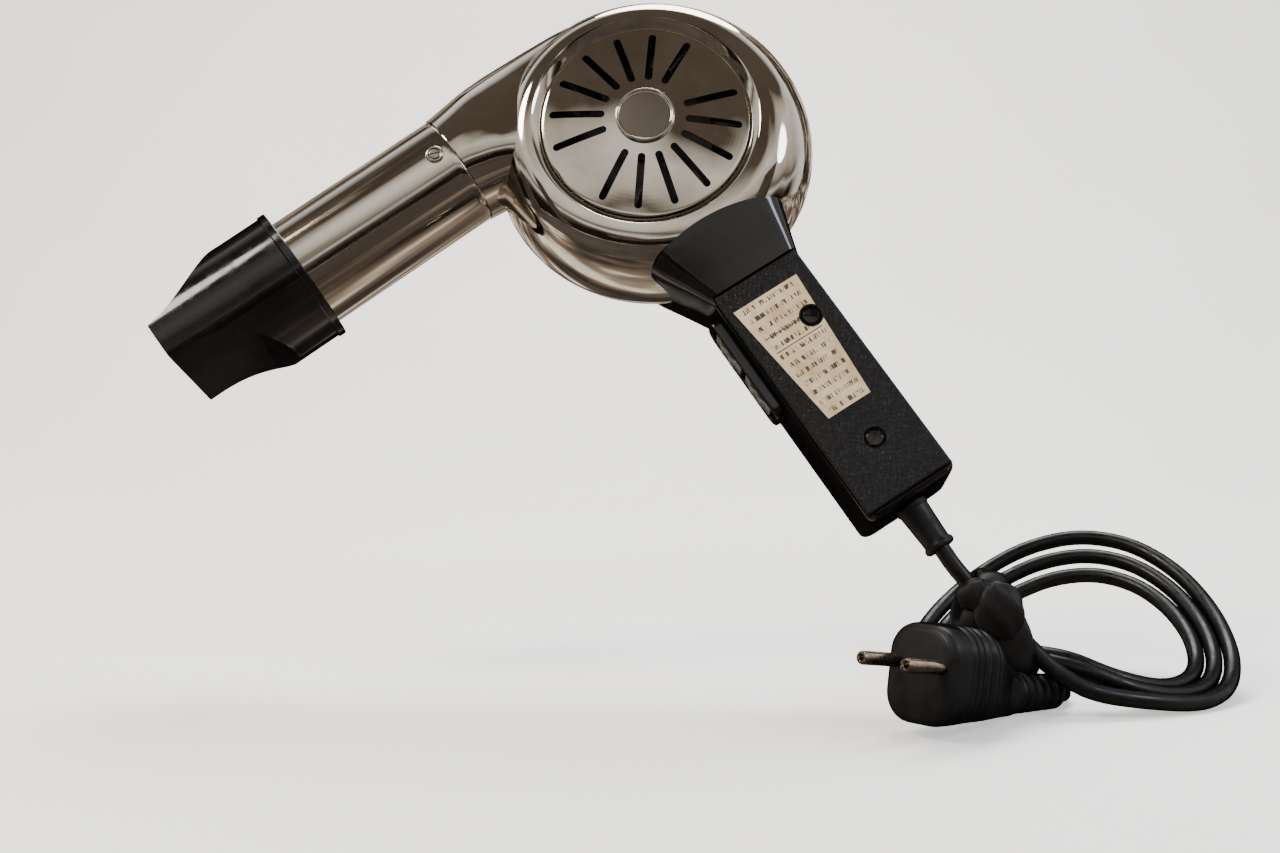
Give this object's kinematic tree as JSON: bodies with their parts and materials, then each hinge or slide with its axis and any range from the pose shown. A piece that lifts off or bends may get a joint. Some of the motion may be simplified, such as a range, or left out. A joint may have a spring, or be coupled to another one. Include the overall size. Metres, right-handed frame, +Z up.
{
  "type": "hair dryer",
  "caption": "Hand-held hair dryer with a round blower drum, straight barrel, fishtail nozzle, angled grip with rocker switches and a tied mains lead with plug.",
  "frame": {"origin": "the point under the barrel where a rest holds the dryer, on the barrel's underside", "axes": "+X to the right, away from the nozzle, along the longest extent; -Y towards the side with the intake grille; +Z up. The dryer leans back 18.8 degrees and is turned 37 degrees in its own plane."},
  "size_m": [0.4212, 0.1844, 0.2761],
  "materials": {
    "chrome": "polished",
    "nickel": "brushed",
    "steel": "satin",
    "black_bakelite": "gloss",
    "grain": "leather grained",
    "label": "satin",
    "rubber": "satin",
    "grey_plastic": "satin",
    "copper": "enamelled copper wire",
    "brass": "satin",
    "carbon": "matte",
    "mica": "matte"
  },
  "bodies": {
    "housing": {"front_shell": "chrome", "rear_shell": "chrome", "intake_grille": "chrome", "grille_badge": "nickel", "barrel_tube": "chrome", "barrel_screw": "steel", "motor_front_plate": "steel", "motor_rear_plate": "steel", "stator": "steel", "field_coil_a": "copper", "field_coil_b": "copper", "front_bearing": "brass", "rear_bearing": "brass", "brush_a": "carbon", "brush_b": "carbon", "brush_holder_a": "brass", "brush_holder_b": "brass", "motor_tie_a": "steel", "motor_tie_b": "steel", "motor_cap": "chrome", "housing_screw_1": "steel", "housing_screw_2": "steel", "housing_screw_3": "steel", "housing_screw_4": "steel", "heater_former": "mica", "heater_coil": "steel", "thermal_cutout": "brass", "handle_body": "black_bakelite", "handle_cover": "grain", "cover_screw_top": "steel", "cover_screw_bottom": "steel", "label_plate": "label", "switch_bezel": "black_bakelite", "switch_body": "carbon", "terminal_block": "mica", "cord_clamp": "steel", "strain_relief": "rubber", "cord_lead": "rubber", "cord_coil": "rubber", "cord_tail": "rubber", "cord_tie": "rubber", "plug_body": "rubber", "plug_boot": "rubber", "plug_pin_a": "steel", "plug_pin_b": "steel"},
    "rotor": {"impeller": "grey_plastic", "impeller_nut": "steel", "motor_shaft": "steel", "armature_core": "steel", "armature_winding": "copper", "commutator": "brass"},
    "nozzle_slider": {"nozzle_clip": "steel"},
    "nozzle_body": {"nozzle": "black_bakelite"},
    "heat_rocker": {"rocker_heat": "grey_plastic"},
    "fan_rocker": {"rocker_fan": "grey_plastic"}
  },
  "joints": [
    {"name": "fan_spin", "type": "hinge", "parent": "housing", "child": "rotor", "pos_m": [0.09198, 0.01689, 0.04961], "axis": [0, 0.9466, -0.3223], "continuous": true},
    {"name": "nozzle_pull", "type": "slide", "parent": "housing", "child": "nozzle_slider", "axis": [-0.7986, -0.1939, -0.5697], "range_m": [0, 0.0145]},
    {"name": "nozzle_turn", "type": "hinge", "parent": "nozzle_slider", "child": "nozzle_body", "pos_m": [-0.05777, -0.00475, -0.01395], "axis": [-0.7986, -0.1939, -0.5697], "continuous": true},
    {"name": "heat_switch", "type": "hinge", "parent": "housing", "child": "heat_rocker", "pos_m": [0.1288, -0.01151, -0.03381], "axis": [0, 0.9466, -0.3223], "range_deg": [-7, 7]},
    {"name": "fan_switch", "type": "hinge", "parent": "housing", "child": "fan_rocker", "pos_m": [0.13984, -0.01687, -0.04954], "axis": [0, 0.9466, -0.3223], "range_deg": [-7, 7]}
  ]
}
